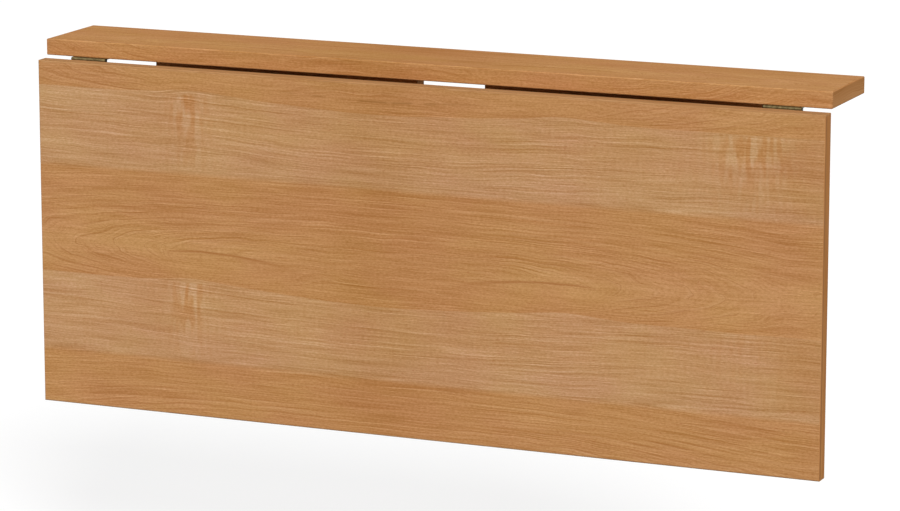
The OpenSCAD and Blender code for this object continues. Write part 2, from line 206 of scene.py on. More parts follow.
def bump(tree, value, centre, width):
    # a smooth hill of height 1 at the centre
    offset = calc(tree, "DIVIDE", calc(tree, "SUBTRACT", value, centre), width)
    square = calc(tree, "MULTIPLY", offset, offset)
    return calc(tree, "EXPONENT", calc(tree, "MULTIPLY", square, -1.0))


def mixColor(tree, factor, first, second, blend="MIX"):
    return addNode(tree, "ShaderNodeMix", {0: factor, 6: first, 7: second},
                   data_type="RGBA", blend_type=blend).outputs[2]


def ramp(tree, factor, stops):
    node = addNode(tree, "ShaderNodeValToRGB", {"Fac": factor})
    elements = node.color_ramp.elements
    while len(elements) < len(stops):
        elements.new(0.5)
    for element, (place, color) in zip(elements, stops):
        element.position = place
        element.color = color
    return node.outputs["Color"]


def placeGroup(tree, groupTree, **inputs):
    return addNode(tree, "ShaderNodeGroup", inputs, node_tree=groupTree).outputs


shades = {
    # how strongly each feature shows, and what it makes of the colour below it
    "middle": (1.0, (0.93, 0.89, 0.83)),
    "band": (0.18, (0.93, 0.89, 0.84)),
    "redder": (1.0, (0.98, 0.925, 0.92)),
    "yellower": (1.0, (0.99, 0.985, 0.91)),
    "darkLine": (0.78, (0.74, 0.62, 0.44)),
    "paleLine": (0.72, (1.13, 1.22, 1.38)),
    "besideRing": (0.6, (1.13, 1.22, 1.38)),
    "rippleTop": (0.75, (1.09, 1.18, 1.34)),
    "rippleFoot": (0.75, (0.94, 0.82, 0.68)),
    "palerEnd": (1.0, (1.06, 1.12, 1.20)),
    "warmerEnd": (1.0, (0.95, 0.90, 0.82)),
    "stripDarkLine": (0.6, (0.74, 0.62, 0.44)),
    "stripPaleLine": (0.6, (1.13, 1.22, 1.38)),
    "stripMottle": (0.5, (0.95, 0.91, 0.86)),
    "stripBack": (1.0, (1.0, 0.96, 0.87)),
    # a painted highlight along the shelf front's upper arris
    "paintedArrisHighlight": (0.8, (1.08, 1.13, 1.22)),
}
inks = {
    # how strongly each mark covers the colour below it, and the mark's own colour
    "ringEdge": (0.7, (154, 98, 52)),
    "dash": (0.75, (138, 92, 44)),
    "fleck": (0.42, (156, 90, 50)),
    "stripFleck": (0.45, (140, 86, 46)),
    "stripLine": (0.7, (112, 76, 44)),
}
betweenFibres = (1.115, 1.145, 1.23, 1)
onFibre = (0.855, 0.80, 0.685, 1)


def shade(tree, color, name, mask):
    strength, tone = shades[name]
    return mixColor(tree, calc(tree, "MULTIPLY", mask, strength), color, (*tone, 1), "MULTIPLY")


def ink(tree, color, name, mask):
    strength, tone = inks[name]
    return mixColor(tree, calc(tree, "MULTIPLY", mask, strength), color, toLinear(*tone))


grainNoise = {
    # each layer: mm across, mm along, its place in the noise, detail and roughness
    "line": (2.2, 330, 3.1, 0.5, 0.5),
    "between": (1.54, 165, 41.3, 0.5, 0.5),
    "shown": (9, 140, 47.7, 2.0, 0.5),      # where lines show and where they fade
    "streak": (1.5, 140, 5.6, 2.0, 0.6),    # softer darker and paler streaks
    "fibre": (1.3, 60, 7.7, 2.0, 0.5),
    "band": (17, 480, 12.3, 2.0, 0.5),
    "fleck": (1.5, 7, 18.9, 1.0, 0.5),
    "crowd": (26, 90, 24.2, 2.0, 0.5),      # where flecks are many and where few
    "mottle": (1.7, 4.42, 29.0, 3.0, 0.7),
}
grainSpan = {
    # the part of a layer's range that goes from none to full
    "shown": (0.38, 0.62),
    "darkStreak": (0.46, 0.34),
    "paleStreak": (0.54, 0.66),
    "fibre": (0.25, 0.75),
    "band": (0.30, 0.70),
    "crowd": (0.35, 0.65),
    "mottle": (0.30, 0.70),
}
grain = {
    "lineLevel": 0.5,           # a line follows this level of its layer
    "betweenLevel": 0.47,
    "lineWidth": 0.075,         # in the same measure
    "paleBeside": 2.2,          # widths from a dark line to the pale one beside it
    "leastShown": 0.35,
    "betweenShare": 0.6,
    "darkStreakShare": 0.4,
    "paleStreakShare": 0.45,
    "fewFlecks": 0.74,          # what rises above this level makes a fleck
    "manyFlecks": 0.63,
    "fleckEdge": 9.0,           # how sharp a fleck's outline is
}


def makeGrainGroup():
    # Lines, fibres and short dark flecks that run with the grain; all places in millimetres
    group, given, result = newGroup(
        "woodGrain",
        [("Across", "NodeSocketFloat", 0.0), ("Along", "NodeSocketFloat", 0.0),
         ("Seed", "NodeSocketFloat", 0.0), ("Thin", "NodeSocketFloat", 1.0)],
        [(title, "NodeSocketFloat")
         for title in ("Dark", "Pale", "Fibre", "Band", "Fleck", "Mottle")])

    def layer(name):
        pitch, run, place, detail, rough = grainNoise[name]
        return noiseAt(group, calc(group, "DIVIDE", given["Across"], pitch),
                       calc(group, "DIVIDE", given["Along"], run),
                       calc(group, "ADD", given["Seed"], place), detail, rough)

    def spanned(name, value, none=0.0, full=1.0):
        return remap(group, value, *grainSpan[name], none, full)

    def times(first, second):
        return calc(group, "MULTIPLY", first, second)

    def stronger(first, second):
        return calc(group, "MAXIMUM", first, second)

    width = times(given["Thin"], grain["lineWidth"])
    line, streak = layer("line"), layer("streak")
    shown = spanned("shown", layer("shown"), grain["leastShown"])
    dark = times(bump(group, line, grain["lineLevel"], width), shown)
    between = bump(group, layer("between"), grain["betweenLevel"], width)
    dark = stronger(dark, times(between, grain["betweenShare"]))
    dark = stronger(dark, spanned("darkStreak", streak, full=grain["darkStreakShare"]))
    beside = calc(group, "MULTIPLY_ADD", width, grain["paleBeside"], grain["lineLevel"])
    pale = times(bump(group, line, beside, width), shown)
    pale = stronger(pale, spanned("paleStreak", streak, full=grain["paleStreakShare"]))
    limit = spanned("crowd", layer("crowd"), grain["fewFlecks"], grain["manyFlecks"])
    above = calc(group, "SUBTRACT", layer("fleck"), limit)
    masks = {
        "Dark": dark,
        "Pale": pale,
        "Fibre": spanned("fibre", layer("fibre")),
        "Band": spanned("band", layer("band")),
        "Fleck": calc(group, "MULTIPLY", above, grain["fleckEdge"], clamp=True),
        "Mottle": spanned("mottle", layer("mottle")),
    }
    for title, mask in masks.items():
        group.links.new(mask, result[title])
    return group


figureNoise = {
    # each layer: mm across, mm along, its place in the noise and detail
    "wander": (70, 170, 0.0, 2.0),
    "waver": (20, 60, 5.0, 1.0),
    "wriggle": (16, 42, 52.0, 1.0),
    "broad": (60, 150, 61.0, 2.0),
    "ringFade": (16, 80, 31.0, 2.0),
    "dashes": (40, 24, 71.0, 0.0),
    "ripple": (45, 9, 44.0, 1.0),
}
sway = {"wander": 18.0, "waver": 4.0, "wriggle": 7.0}      # mm to and fro
plankTones = [
    # mm from the seam, and the tone there
    (0, (193, 152, 111)),       # the cream plank
    (50, (193, 152, 111)),
    (88, (193, 153, 114)),
    (103, (193, 153, 114)),
    (110, (189, 142, 96)),      # the redder one
    (172, (189, 142, 96)),
    (205, (191, 146, 99)),      # the arches' gold
    (250.47, (189, 142, 95)),
]
# Where a feature fades, the two places come first, and then the values there if not 0 and 1.
# "half" is the distance from the mirror line, "place" the distance from the seam, in mm.
figure = {
    "repeat": 253,              # from one seam to the next
    "mirrorRound": 20,          # lines turn over within this at the mirror line
    "creamEnd": 96,             # the cream plank ends here, from its seam
    "creamFade": (-4, 10),      # and its end is soft over this
    "creamStart": (0, 2),
    "creamWander": 0.5,
    "creamWriggle": 0.3,
    "sag": 20,                  # how far its lines sag at the mirror line
    "sagWidth": 330,
    "middleWidth": 105,         # the middle is deeper in tone over this
    "middleShare": 0.75,
    "lensShare": 0.5,           # and so is the lens
    "broadSpan": (0.38, 0.62),
    "polish": (0.48, 0.56),     # roughness off a dark line and on it
    "fibreHeight": 0.6,
    "fleckHeight": -1.0,
}
seam = {
    "dip": 9,                   # at the mirror line
    "dipWidth": 150,
    "hump": 6,                  # on each side of it
    "humpAt": 262,
    "humpWidth": 60,
    "waver": 0.6,
    "after": (40, 110, 1, 0),
    "before": (200, 236),
}
arches = {
    "axis": 208,                # their middle line, from the seam
    "straight": 160,            # they run straight this far from the mirror line
    "closed": 560,              # and the outermost one closes here
    "height": 58,
    "wander": 0.5,
    "waver": (160, 300, 0, 0.4),
    "wriggle": (8, 60, 1.0, 0.15),      # from the axis
    "leastSteep": 0.12,
    "faint": (0.15, 0.75, 0.65, 1.0),   # lines are fainter where the rings lie flat
}
lens = {
    "along": 250,               # its middle, from the mirror line
    "across": 232,              # and from the seam
    "inner": 150,               # how far it reaches towards the mirror line
    "outer": 105,               # and away from it
    "turn": 15,
    "height": 21,
    "squeeze": (230, 350, 0.75, 0.0),   # how far it pushes the rings together
    "calm": 0.85,               # how far it hides lines and rings
    "outlineWidth": 0.16,
    "outlineLow": (232, 246, 1.0, 0.2),
    "outlineFrom": (90, 200),
    "outlineTo": (270, 330, 1, 0),
}
rings = {
    "pitch": 6.6,
    "from": (118, 160),         # place
    "near": (60, 260, 0.1, 1),  # half
    "far": (470, 640, 1, 0.35),
    "fadeSpan": (0.38, 0.60),
    "edge": 5.0,                # how narrow the dark edge is
    "shineAt": 0.42,            # shares of a ring, from its edge
    "shineWidth": 0.16,
}
dashes = {
    "place": 236.0,
    "width": 1.1,
    "reach": 115.0,             # from the mirror line
    "span": (0.40, 0.52),
    "firstSeam": (-6, 0, 1.0, 0.1),     # clear above the first seam, faint below
}
ripple = {
    "span": (0.40, 0.58),
    "left": (-272.0, 24.0),     # middle and width, along the board
    "right": (512.0, 46.0),
    "firstPlank": (70, 200, 1, 0.2),    # the right one fades below the first cream plank
    "nearSeam": (15, 85, 1.2, 0.35),
    "everywhere": 0.08,
}
ends = {
    "paler": (-290, -420),      # along the board
    "palerNearSeam": (15, 85, 1, 0),
    "warmer": (500, 590),
}


def makeFigureGroup(grainGroup):
    # The board's printed figure: a cream plank, a redder one and arches that mirror left and right
    group, given, result = newGroup(
        "boardFigure",
        [("Along", "NodeSocketFloat", 0.0), ("Across", "NodeSocketFloat", 0.0),
         ("Seed", "NodeSocketFloat", 0.0), ("Ripple", "NodeSocketFloat", 1.0)],
        [("Color", "NodeSocketColor"), ("Height", "NodeSocketFloat"),
         ("Polish", "NodeSocketFloat")])
    along, across, seed = given["Along"], given["Across"], given["Seed"]

    def add(first, *others):
        for other in others:
            first = calc(group, "ADD", first, other)
        return first

    def times(first, *others):
        for other in others:
            first = calc(group, "MULTIPLY", first, other)
        return first

    def over(value, size):
        return calc(group, "DIVIDE", value, size)

    def rest(value):
        return calc(group, "SUBTRACT", 1.0, value)

    def fade(value, *span):
        return remap(group, value, *span, smooth=True)

    def hill(value, middle, width):
        return bump(group, value, middle, width)

    def noise(name, side=along):
        pitch, run, shift, detail = figureNoise[name]
        return noiseAt(group, over(across, pitch), over(side, run), add(seed, shift), detail)

    def swing(name, side=along):
        return times(add(noise(name, side), -0.5), sway[name])     # noise is 0.5 on average

    half = calc(group, "SQRT", add(times(along, along), figure["mirrorRound"] ** 2))
    wander, waver, wriggle = swing("wander", half), swing("waver"), swing("wriggle")

    # The seam dips at the mirror line and rises in a hump on each side of it
    raw = calc(group, "FLOORED_MODULO", across, figure["repeat"])
    nearSeam = add(fade(raw, *seam["after"]), fade(raw, *seam["before"]))
    dip = times(hill(half, 0.0, seam["dipWidth"]), seam["dip"])
    hump = times(hill(half, seam["humpAt"], seam["humpWidth"]), -seam["hump"])
    dip = times(add(dip, hump, times(waver, seam["waver"])), nearSeam)
    place = calc(group, "FLOORED_MODULO", calc(group, "SUBTRACT", raw, dip), figure["repeat"])

    sag = times(hill(half, 0.0, figure["sagWidth"]), -figure["sag"])
    unrest = add(times(wander, figure["creamWander"]), times(wriggle, figure["creamWriggle"]))
    creamRing = add(raw, sag, unrest)

    # The plain lens has a rounded outline
    reachOut = remap(group, half, lens["along"] - lens["turn"], lens["along"] + lens["turn"],
                     1 / lens["inner"], 1 / lens["outer"])
    sideways = times(add(half, wander, -lens["along"]), reachOut)
    upwards = over(add(place, waver, -lens["across"]), lens["height"])
    lensShape = add(times(sideways, sideways), times(upwards, upwards))
    inLens = calc(group, "EXPONENT", times(lensShape, lensShape, -1.0))

    fromAxis = add(place, -arches["axis"], times(wander, arches["wander"]))
    rise = calc(group, "ABSOLUTE", fromAxis)
    reach = remap(group, half, arches["straight"], arches["closed"], 0, arches["height"])
    reach = add(reach, times(waver, remap(group, half, *arches["waver"])))
    archRing = calc(group, "SQRT", add(times(rise, rise), times(reach, reach)))
    # How steeply the rings follow each other: 1 on the arches' sides, less at their ends
    turning = times(reach, arches["height"] / (arches["closed"] - arches["straight"]))
    steep = calc(group, "SQRT", add(times(rise, rise), times(turning, turning)))
    steep = over(steep, add(archRing, 0.01))       # never divided by nothing
    steep = calc(group, "MAXIMUM", steep, arches["leastSteep"])
    # The lens pushes the rings together round it
    archRing = times(archRing, rest(times(inLens, fade(half, *lens["squeeze"]))))
    archRing = add(archRing, times(wriggle, remap(group, rise, *arches["wriggle"])))

    inArch = fade(raw, *(figure["creamEnd"] + edge for edge in figure["creamFade"]))
    inCream = times(rest(inArch), remap(group, place, *figure["creamStart"]))
    mixed = addNode(group, "ShaderNodeMix", {0: rest(inCream), 2: creamRing, 3: archRing})
    thin = remap(group, inCream, 0.0, 1.0, steep, 1.0)
    lines = placeGroup(group, grainGroup, Across=mixed.outputs[0], Along=along, Seed=seed,
                       Thin=thin)
    fine = placeGroup(group, grainGroup, Across=add(across, wander), Along=along, Seed=seed)

    color = ramp(group, over(place, figure["repeat"]),
                 [(stop / figure["repeat"], toLinear(*tone)) for stop, tone in plankTones])
    middle = times(hill(half, 0.0, figure["middleWidth"]), figure["middleShare"])
    color = shade(group, color, "middle", add(middle, times(inLens, figure["lensShare"])))
    color = shade(group, color, "band", lines["Band"])
    broad = remap(group, noise("broad"), *figure["broadSpan"])
    color = shade(group, color, "redder", broad)
    color = shade(group, color, "yellower", rest(broad))

    # Lines are faint in the lens and where the arches turn
    calm = rest(times(inLens, lens["calm"]))
    clear = times(calm, remap(group, thin, *arches["faint"]))
    color = shade(group, color, "darkLine", times(lines["Dark"], clear))
    color = shade(group, color, "paleLine", times(lines["Pale"], clear))
    for title in ("Fibre", "Mottle"):
        tone = mixColor(group, fine[title], betweenFibres, onFibre)
        color = mixColor(group, 1.0, color, tone, "MULTIPLY")

    # Growth rings: a thin dark edge with a paler line beside it, strongest where the arches turn
    step = calc(group, "FRACT", over(archRing, rings["pitch"]))
    show = times(fade(place, *rings["from"]), fade(half, *rings["near"]),
                 fade(half, *rings["far"]), calm,
                 remap(group, noise("ringFade"), *rings["fadeSpan"]))
    edge = times(calc(group, "POWER", step, over(rings["edge"], steep)), show)
    shineAt = calc(group, "MULTIPLY_ADD", steep, -rings["shineAt"], 1.0)
    shine = times(hill(step, shineAt, times(steep, rings["shineWidth"])), show)
    outline = times(hill(lensShape, 1.0, lens["outlineWidth"]),
                    remap(group, place, *lens["outlineLow"]),
                    fade(half, *lens["outlineFrom"]), fade(half, *lens["outlineTo"]))
    color = shade(group, color, "besideRing", shine)
    color = ink(group, color, "ringEdge", calc(group, "MAXIMUM", edge, outline))

    # Short dark dashes on the arches' axis at the mirror line
    dash = times(hill(place, dashes["place"], dashes["width"]),
                 remap(group, noise("dashes"), *dashes["span"]),
                 hill(half, 0.0, dashes["reach"]), remap(group, across, *dashes["firstSeam"]))
    color = ink(group, color, "dash", dash)
    color = ink(group, color, "fleck", fine["Fleck"])

    # Ripple across the grain in the cream plank
    wave = remap(group, noise("ripple"), *ripple["span"])
    right = times(hill(along, *ripple["right"]), fade(across, *ripple["firstPlank"]))
    spots = times(add(hill(along, *ripple["left"]), right), fade(place, *ripple["nearSeam"]))
    spots = times(add(spots, ripple["everywhere"]), inCream, given["Ripple"])
    color = shade(group, color, "rippleTop", times(wave, spots))
    color = shade(group, color, "rippleFoot", times(rest(wave), spots))

    # The cream plank is paler towards one end and warmer towards the other
    paler = times(fade(along, *ends["paler"]), fade(place, *ends["palerNearSeam"]))
    color = shade(group, color, "palerEnd", times(paler, inCream))
    color = shade(group, color, "warmerEnd", times(fade(along, *ends["warmer"]), inCream))

    height = add(times(fine["Fibre"], figure["fibreHeight"]),
                 times(fine["Fleck"], figure["fleckHeight"]))
    group.links.new(color, result["Color"])
    group.links.new(height, result["Height"])
    group.links.new(remap(group, lines["Dark"], 0.0, 1.0, *figure["polish"]), result["Polish"])
    return group


stripSway = {"across": 30, "along": 75, "reach": 9.0}      # mm


def makeStripGroup(grainGroup):
    # Edging strips: lines along the strip, a little deeper in tone than the boards
    group, given, result = newGroup(
        "stripGrain",
        [("Across", "NodeSocketFloat", 0.0), ("Along", "NodeSocketFloat", 0.0),
         ("Seed", "NodeSocketFloat", 0.0), ("Light", "NodeSocketColor", (0.5, 0.3, 0.1, 1)),
         ("Dark", "NodeSocketColor", (0.3, 0.2, 0.1, 1))],
        [("Color", "NodeSocketColor"), ("Height", "NodeSocketFloat")])
    wander = noiseAt(group, calc(group, "DIVIDE", given["Across"], stripSway["across"]),
                     calc(group, "DIVIDE", given["Along"], stripSway["along"]), given["Seed"])
    across = calc(group, "MULTIPLY_ADD", wander, stripSway["reach"], given["Across"])
    lines = placeGroup(group, grainGroup, Across=across, Along=given["Along"],
                       Seed=given["Seed"])
    color = mixColor(group, lines["Band"], given["Light"], given["Dark"])
    color = shade(group, color, "stripDarkLine", lines["Dark"])
    color = shade(group, color, "stripPaleLine", lines["Pale"])
    color = shade(group, color, "stripMottle", lines["Mottle"])
    color = ink(group, color, "stripFleck", lines["Fleck"])
    sunk = calc(group, "MULTIPLY", lines["Fleck"], figure["fleckHeight"])
    height = calc(group, "MULTIPLY_ADD", lines["Fibre"], figure["fibreHeight"], sunk)
    group.links.new(color, result["Color"])
    group.links.new(height, result["Height"])
    return group


wear = {
    "metallic": 0.9,
    "patches": (1.0, 4.0, 0.65),    # scale, detail and roughness of the noise
    "patchSpan": (0.35, 0.68),      # from light to tarnished
    "marks": (14.0, 2.0, 0.6),
    "markSpan": (0.3, 0.7),
    "polish": (0.30, 0.48),         # roughness
    "bumpDistance": 0.00003,
}


def makeMetalGroup():
    # Tarnish in patches and fine rubbed marks, in millimetres
    group, given, result = newGroup(
        "metalWear",
        [("Place", "NodeSocketVector", (0, 0, 0)),
         ("Light", "NodeSocketColor", (0.5, 0.5, 0.5, 1)),
         ("Dark", "NodeSocketColor", (0.3, 0.3, 0.3, 1)), ("Patch", "NodeSocketFloat", 6.0)],
        [("Color", "NodeSocketColor"), ("Polish", "NodeSocketFloat"),
         ("Height", "NodeSocketFloat")])
    size = addNode(group, "ShaderNodeVectorMath", operation="SCALE")
    group.links.new(given["Place"], size.inputs[0])
    group.links.new(calc(group, "DIVIDE", 1.0, given["Patch"]), size.inputs["Scale"])
    patches = noiseOn(group, size.outputs[0], *wear["patches"])
    marks = noiseOn(group, size.outputs[0], *wear["marks"])
    tarnish = remap(group, patches, *wear["patchSpan"])
    color = mixColor(group, tarnish, given["Light"], given["Dark"])
    group.links.new(color, result["Color"])
    group.links.new(remap(group, marks, *wear["markSpan"], *wear["polish"]), result["Polish"])
    group.links.new(marks, result["Height"])
    return group


grainGroup = makeGrainGroup()
figureGroup = makeFigureGroup(grainGroup)
stripGroup = makeStripGroup(grainGroup)
metalGroup = makeMetalGroup()
print("shader groups ready")

mm = 0.001
bumpStrength = 0.5


def newMaterial(name, **settings):
    material = bpy.data.materials.new(name)
    material.use_nodes = True
    tree = material.node_tree
    tree.nodes.clear()
    shader = addNode(tree, "ShaderNodeBsdfPrincipled", settings)
    output = addNode(tree, "ShaderNodeOutputMaterial", {"Surface": shader.outputs[0]})
    output.is_active_output = True
    place = addNode(tree, "ShaderNodeTexCoord").outputs["Object"]
    # the place on the object in millimetres, as a vector and as three numbers
    scaled = addNode(tree, "ShaderNodeVectorMath", {0: place, "Scale": 1 / mm}, operation="SCALE")
    axes = addNode(tree, "ShaderNodeSeparateXYZ", {0: scaled.outputs[0]}).outputs
    return material, tree, shader, scaled.outputs[0], axes


def addBump(tree, shader, height, distance):
    node = addNode(tree, "ShaderNodeBump", {
        "Height": height, "Strength": bumpStrength, "Distance": distance})
    tree.links.new(node.outputs[0], shader.inputs["Normal"])


laminate = {
    "mirrorLine": -57,      # mm along the boards where the figure mirrors
    "leafTop": -14.4,
    "leafSeam": 32,         # mm from the leaf's upper edge to the first seam
    "leafSeed": 1.0,
    "gloss": 1.015,         # a low IOR keeps the satin film dull at flat angles
    "arris": 1.5,           # mm that the painted highlight along the upper edge fades over
    "bumpDistance": 0.00006,
}
chipboard = {
    "chip": 2.4,                # mm across one chip, about
    "dust": (1.1, 3.0, 0.7),    # scale, detail and roughness of the fine noise
    "dustShare": 0.6,           # what the dust adds to the tone
    "rimShare": 0.35,           # and what a chip's rim adds
    "chipShare": 0.5,           # the rest is each chip's own tone
    "tones": [(0.30, (134, 100, 62)), (0.46, (176, 142, 98)), (0.66, (206, 178, 134))],
    "backFace": -0.3,           # the shelf's raw back edge starts here
}


def chipColor(tree, place):
    chips = addNode(tree, "ShaderNodeTexVoronoi", {
        "Vector": place, "Scale": 1 / chipboard["chip"]}).outputs
    rim = calc(tree, "MULTIPLY", chips["Distance"], chipboard["rimShare"])
    dust = noiseOn(tree, place, *chipboard["dust"])
    tone = calc(tree, "MULTIPLY_ADD", dust, chipboard["dustShare"], rim)
    tone = mixColor(tree, chipboard["chipShare"], tone, chips["Color"])
    return ramp(tree, tone, [(stop, toLinear(*color)) for stop, color in chipboard["tones"]])


def boardMaterial(name, seed, acrossAxis, offset, sign=-1.0, lengthAxis=0, sideAxis=None,
                  ripple=1.0, tint=None, rawBack=False, paintedArrisHighlight=None):
    material, tree, shader, place, axes = newMaterial(name, IOR=laminate["gloss"])
    along = calc(tree, "SUBTRACT", axes[lengthAxis], laminate["mirrorLine"])
    across = calc(tree, "MULTIPLY_ADD", axes[acrossAxis], sign, offset)
    if sideAxis is not None:
        across = calc(tree, "ADD", across, axes[sideAxis])      # lines on the narrow sides too
    look = placeGroup(tree, figureGroup, Along=along, Across=across, Seed=seed, Ripple=ripple)
    color = look["Color"]
    if tint:
        color = mixColor(tree, 1.0, color, tint, "MULTIPLY")
    # a painted highlight: the upper arris is paler where its rounding would catch the light from
    # above
    if paintedArrisHighlight:
        arris = remap(tree, axes[2], paintedArrisHighlight - laminate["arris"], paintedArrisHighlight)
        color = shade(tree, color, "paintedArrisHighlight", arris)
    if rawBack:
        back = calc(tree, "GREATER_THAN", axes[1], chipboard["backFace"])
        color = mixColor(tree, back, color, chipColor(tree, place))
    tree.links.new(color, shader.inputs["Base Color"])
    tree.links.new(look["Polish"], shader.inputs["Roughness"])
    addBump(tree, shader, look["Height"], laminate["bumpDistance"])
    return material


strip = {
    "roughness": 0.5,
    "lines": (-152, -134),      # where the dark lines lie on the leaf's end strips, in mm
    "lineWidth": 1.3,
    "behind": (1, 4),           # how far behind the first one the oranger tone comes in
    "frontFace": -155.2,        # what lies before this is the leaf's front
}


def stripMaterial(name, acrossAxis, light, dark, seed, leafEnd=False):
    # Lines run along the strip whichever way it lies, because only the board's thickness is short
    material, tree, shader, place, axes = newMaterial(
        name, IOR=laminate["gloss"], Roughness=strip["roughness"])
    through = axes[acrossAxis]
    along = calc(tree, "ADD", *(axes[i] for i in range(3) if i != acrossAxis))
    look = placeGroup(tree, stripGroup, Across=through, Along=along, Seed=seed,
                      Light=toLinear(*light), Dark=toLinear(*dark))
    color = look["Color"]
    if leafEnd:
        # dark lines along the strip and its back edge, and an oranger tone between them
        first, last = (bump(tree, through, line, strip["lineWidth"]) for line in strip["lines"])
        behind = remap(tree, through, *(strip["lines"][0] + step for step in strip["behind"]))
        color = shade(tree, color, "stripBack", behind)
        color = ink(tree, color, "stripLine", calc(tree, "MAXIMUM", first, last))
        # the leaf's figure runs on over the strip's front
        along = calc(tree, "SUBTRACT", axes[0], laminate["mirrorLine"])
        across = calc(tree, "SUBTRACT", laminate["leafTop"] - laminate["leafSeam"], axes[2])
        board = placeGroup(tree, figureGroup, Along=along, Across=across,
                           Seed=laminate["leafSeed"])
        front = calc(tree, "LESS_THAN", through, strip["frontFace"])
        color = mixColor(tree, front, color, board["Color"])
    tree.links.new(color, shader.inputs["Base Color"])
    addBump(tree, shader, look["Height"], laminate["bumpDistance"])
    return material


def metalMaterial(name, light, dark, patch, dull=0.0):
    material, tree, shader, place, axes = newMaterial(name, Metallic=wear["metallic"])
    look = placeGroup(tree, metalGroup, Place=place, Light=toLinear(*light),
                      Dark=toLinear(*dark), Patch=patch)
    tree.links.new(look["Color"], shader.inputs["Base Color"])
    tree.links.new(calc(tree, "ADD", look["Polish"], dull), shader.inputs["Roughness"])
    addBump(tree, shader, look["Height"], wear["bumpDistance"])
    return material


feltLook = {
    "roughness": 0.95,
    "fuzz": (1.6, 4.0, 0.7),    # scale, detail and roughness of the noise
    "fuzzSpan": (0.35, 0.65),
    "dark": (44, 41, 39),
    "light": (78, 72, 68),
    "bumpDistance": 0.0004,
}


def feltMaterial():
    material, tree, shader, place, axes = newMaterial("darkFelt", Roughness=feltLook["roughness"])
    fuzz = noiseOn(tree, place, *feltLook["fuzz"])
    color = mixColor(tree, remap(tree, fuzz, *feltLook["fuzzSpan"]),
                     toLinear(*feltLook["dark"]), toLinear(*feltLook["light"]))
    tree.links.new(color, shader.inputs["Base Color"])
    addBump(tree, shader, fuzz, feltLook["bumpDistance"])
    return material


# Axes are 0, 1 and 2, and tones come lighter first. "offset" is where the figure's first seam
# lies and "patch" how large the tarnished patches are, both in mm.
looks = {
    "leafBoard": boardMaterial(
        "leafLaminate", seed=laminate["leafSeed"], acrossAxis=2,
        offset=laminate["leafTop"] - laminate["leafSeam"]),
    # The shelf's darker tint is painted shade: it is the leaf's laminate, held darker because its
    # top gets stronger light from above
    "shelfBoard": boardMaterial(
        "shelfLaminate", seed=4.0, acrossAxis=1, offset=120.0, ripple=0.5,
        tint=(0.92, 0.90, 0.84, 1), rawBack=True),
    # the shelf front's upper arris carries a painted highlight
    "shelfFrontStrip": boardMaterial(
        "shelfFrontEdging", seed=6.0, acrossAxis=2, offset=231.0, ripple=0.3,
        tint=(0.95, 0.90, 0.86, 1), paintedArrisHighlight=10.6),
    "supportBoard": boardMaterial(
        "supportLaminate", seed=9.0, acrossAxis=2, offset=40.0, ripple=0.3),
    "battenBoard": boardMaterial(
        "battenLaminate", seed=17.0, acrossAxis=0, offset=150.0, sign=1.0, lengthAxis=2,
        sideAxis=1, ripple=0.3),
    "shelfStrip": stripMaterial("shelfEdging", 2, (180, 132, 86), (167, 116, 68), seed=2.0),
    "leafStrip": stripMaterial("leafEdging", 1, (184, 141, 97), (173, 127, 84), seed=6.0),
    "leafEndStrip": stripMaterial(
        "leafEndEdging", 1, (186, 135, 87), (173, 121, 75), seed=6.0, leafEnd=True),
    "block": stripMaterial("blockWood", 1, (196, 156, 108), (172, 126, 78), seed=14.0),
    "dowel": stripMaterial("dowelWood", 0, (212, 180, 132), (190, 152, 102), seed=21.0),
    "hinge": metalMaterial("antiqueBrass", (134, 120, 83), (86, 74, 46), patch=6.0),
    # the pins' near-black is partly painted shade: dark brass, darkened further to give the
    # hinges' ends their shadowed look
    "pin": metalMaterial("shadeDarkenedBrass", (46, 40, 29), (25, 21, 15), patch=3.0),
    "screw": metalMaterial("zincScrew", (190, 190, 186), (150, 150, 146), patch=2.0),
    "bracket": metalMaterial(
        "zincBracket", (176, 178, 178), (138, 140, 140), patch=9.0, dull=0.16),
    "felt": feltMaterial(),
}

finishes = {
    "board_laminate": "leafBoard", "support_laminate": "supportBoard", "edging": "shelfStrip",
    "dowel_wood": "dowel", "hinge_metal": "hinge", "hinge_pin": "pin", "screw_steel": "screw",
    "bracket_steel": "bracket", "pad": "felt",
}
special = {
    "top_shelf": "shelfBoard", "shelf_front_edging": "shelfFrontStrip",
    "left_wall_batten": "battenBoard", "right_wall_batten": "battenBoard",
    "left_stop_block": "block", "right_stop_block": "block",
}
slots = {part["node"]: part["material_slot"] for part in frame["record"]["subparts"]}
for name, piece in nodes.items():
    look = special.get(name, finishes[slots[name]])
    if look == "shelfStrip" and ("leaf" in name or "support" in name):
        look = "leafEndStrip" if name in ("leaf_left_edging", "leaf_right_edging") else "leafStrip"
    piece.data.materials.clear()
    piece.data.materials.append(looks[look])
print("materials on", len(nodes), "nodes")


close = {
    "merged": 0.001,        # points this near each other are one, in mm
    "level": 0.02,          # and faces are at one height
    "screwEnd": 0.05,
    "facing": 0.9,          # a face's normal along a direction, when it faces that way
}


def choose(*pieces):
    # selects these pieces alone; the first one is the active one
    bpy.ops.object.select_all(action="DESELECT")
    for piece in pieces:
        piece.select_set(True)
    bpy.context.view_layer.objects.active = pieces[0]


def startEdit(piece):
    choose(piece)
    bpy.ops.object.mode_set(mode="EDIT")


def endEdit():
    bpy.ops.object.mode_set(mode="OBJECT")


def pick(piece, kind, wanted):
    # in edit mode: selects the faces or edges that pass a test
    bpy.ops.mesh.select_mode(type=kind)
    bpy.ops.mesh.select_all(action="DESELECT")
    mesh = bmesh.from_edit_mesh(piece.data)
    for part in mesh.faces if kind == "FACE" else mesh.edges:
        if wanted(part):
            part.select_set(True)
    mesh.select_flush_mode()
    bmesh.update_edit_mesh(piece.data)


